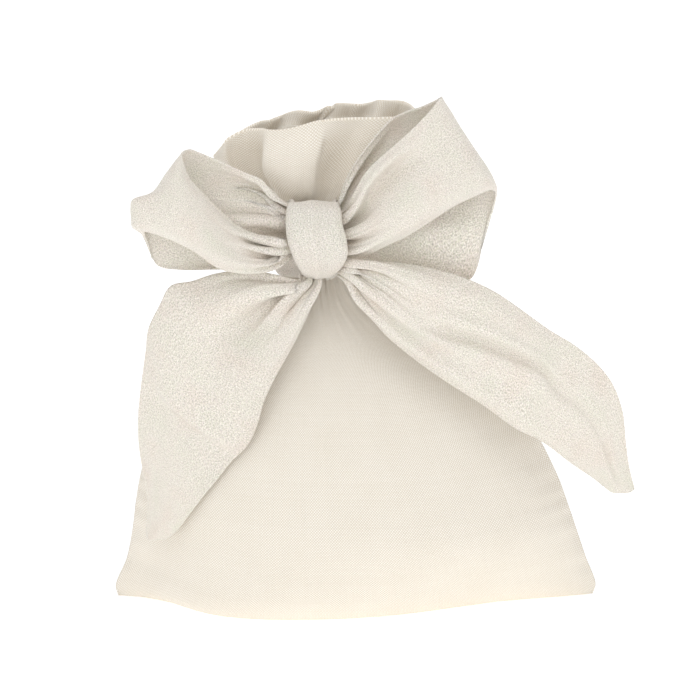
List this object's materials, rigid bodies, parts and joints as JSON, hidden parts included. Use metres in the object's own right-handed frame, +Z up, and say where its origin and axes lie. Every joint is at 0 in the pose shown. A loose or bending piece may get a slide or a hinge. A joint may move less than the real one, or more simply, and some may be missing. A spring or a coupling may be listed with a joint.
{
  "type": "gift pouch",
  "caption": "Plump woven-cloth favour pouch, gathered at the neck and tied with a wide ribbon bow; its loops lift, its tails swing and its frilled mouth leans and opens.",
  "frame": {"origin": "on the flat base, under the middle of the pouch", "axes": "+Z up towards the mouth, +X to the right seen from the front, the bow faces -Y"},
  "size_m": [0.1287, 0.0648, 0.1296],
  "materials": {
    "pouch_cloth": "ivory basket-weave cloth, matt",
    "ribbon": "ivory crepe ribbon with a fine pearly grain",
    "thread": "ivory sewing thread"
  },
  "bodies": {
    "root": {"pouch_front_panel": "pouch_cloth", "pouch_back_panel": "pouch_cloth", "left_side_seam": "pouch_cloth", "right_side_seam": "pouch_cloth", "left_seam_thread": "thread", "right_seam_thread": "thread", "ribbon_neck_band": "ribbon", "ribbon_knot": "ribbon"},
    "mouth_front": {"frill_front": "pouch_cloth", "front_mouth_hem": "pouch_cloth", "front_hem_thread": "thread"},
    "mouth_back": {"frill_back": "pouch_cloth", "back_mouth_hem": "pouch_cloth", "back_hem_thread": "thread"},
    "left_loop": {"left_loop": "ribbon"},
    "right_loop": {"right_loop": "ribbon"},
    "left_tail": {"left_tail": "ribbon"},
    "right_tail": {"right_tail": "ribbon"}
  },
  "joints": [
    {"name": "mouth_lean", "type": "hinge", "parent": "root", "child": "mouth_front", "pos_m": [-0.009, 0.004, 0.0975], "axis": [1, 0, 0], "range_deg": [-18, 0], "stiffness_Nm_per_rad": 0.003},
    {"name": "mouth_open", "type": "hinge", "parent": "mouth_front", "child": "mouth_back", "pos_m": [-0.009, 0.0065, 0.098], "axis": [1, 0, 0], "range_deg": [-20, 0], "stiffness_Nm_per_rad": 0.003},
    {"name": "left_loop_lift", "type": "hinge", "parent": "root", "child": "left_loop", "pos_m": [-0.0176, -0.017, 0.1034], "axis": [0, 1, 0], "range_deg": [0, 25]},
    {"name": "right_loop_lift", "type": "hinge", "parent": "root", "child": "right_loop", "pos_m": [-0.0012, -0.017, 0.1034], "axis": [0, -1, 0], "range_deg": [0, 25]},
    {"name": "left_tail_swing", "type": "hinge", "parent": "root", "child": "left_tail", "pos_m": [-0.011, -0.02, 0.088], "axis": [-1, 0, 0], "range_deg": [0, 65]},
    {"name": "right_tail_swing", "type": "hinge", "parent": "root", "child": "right_tail", "pos_m": [0.002, -0.022, 0.0905], "axis": [-1, 0, 0], "range_deg": [0, 65]}
  ]
}
